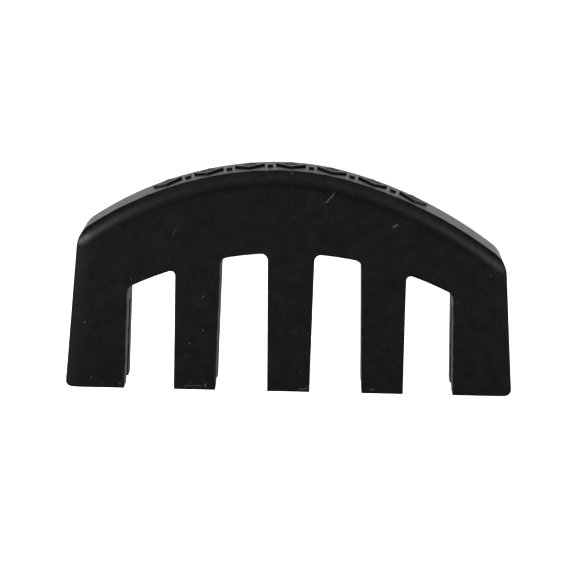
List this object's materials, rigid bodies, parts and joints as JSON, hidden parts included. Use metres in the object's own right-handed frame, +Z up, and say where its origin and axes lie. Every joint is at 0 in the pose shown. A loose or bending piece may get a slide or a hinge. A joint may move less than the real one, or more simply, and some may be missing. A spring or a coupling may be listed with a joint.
{
  "type": "violin bridge mute",
  "caption": "Black rubber comb mute with an arched crown, string slots and a slit that goes over a violin bridge.",
  "frame": {"origin": "on the plane of the feet, under the middle of the mute", "axes": "+Z up from the feet to the crown, X across the strings, -Y towards the face that the picture shows"},
  "size_m": [0.0558, 0.0126, 0.028],
  "materials": {
    "black_rubber": "semi-matt, moulded",
    "cast_metal": "as cast"
  },
  "bodies": {
    "root": {"rubber_cover": "black_rubber", "metal_core": "cast_metal"}
  },
  "joints": []
}
